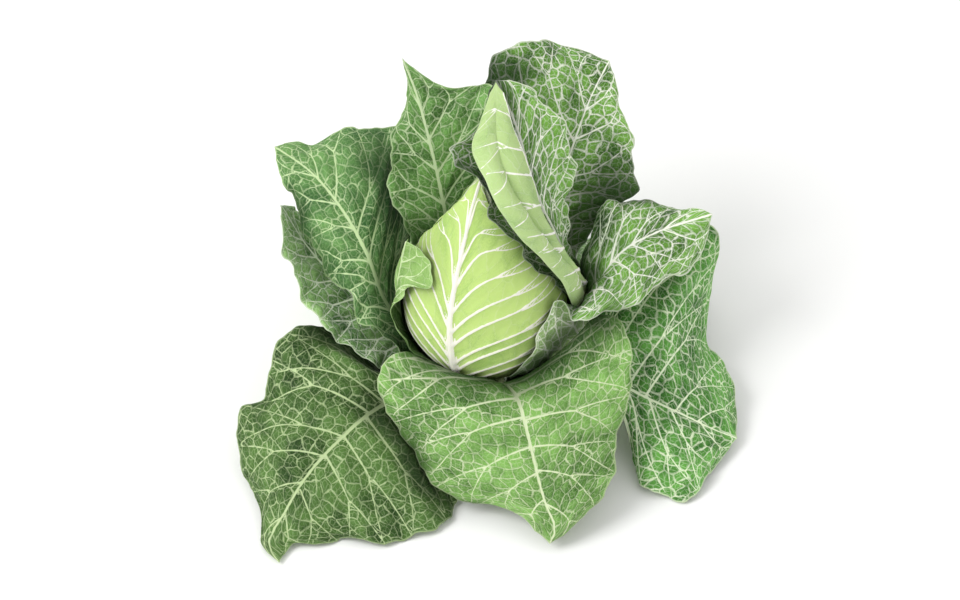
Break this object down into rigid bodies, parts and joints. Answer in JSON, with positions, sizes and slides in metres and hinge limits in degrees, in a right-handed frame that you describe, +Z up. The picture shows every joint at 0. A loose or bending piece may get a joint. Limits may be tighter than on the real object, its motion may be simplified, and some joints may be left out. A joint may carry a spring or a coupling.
{
  "type": "cabbage head",
  "caption": "Pointed green cabbage with a pale heart, a side bud and broad veined wrapper leaves opened around it, standing on its cut stem.",
  "frame": {"origin": "middle of the cut stem's flat underside, on the surface that the head stands on", "axes": "+Z up along the stem and the pointed heart; -Y is the front, where the broad front leaf hangs down; +X is to the right as seen from the front"},
  "size_m": [0.3707, 0.3786, 0.2523],
  "materials": {
    "stem": "matt, moist cut face",
    "heart_leaf": "smooth, waxy, with thick white ribs",
    "green_leaf": "puckered, waxy, with a pale network of veins",
    "dark_leaf": "puckered, waxy, with a pale network of veins"
  },
  "bodies": {
    "root": {"stem": "stem", "head_core": "heart_leaf", "head_back_leaf": "heart_leaf", "head_front_leaf": "heart_leaf", "side_bud_outer_leaf": "green_leaf", "side_bud_inner_leaf": "heart_leaf", "collar_leaf": "green_leaf", "right_leaf": "green_leaf", "front_leaf": "green_leaf", "back_left_leaf": "green_leaf", "left_leaf": "dark_leaf", "back_right_leaf": "green_leaf", "far_left_leaf": "dark_leaf", "front_left_leaf": "green_leaf", "far_right_leaf": "dark_leaf", "low_back_leaf": "green_leaf", "low_right_leaf": "dark_leaf"}
  },
  "joints": []
}
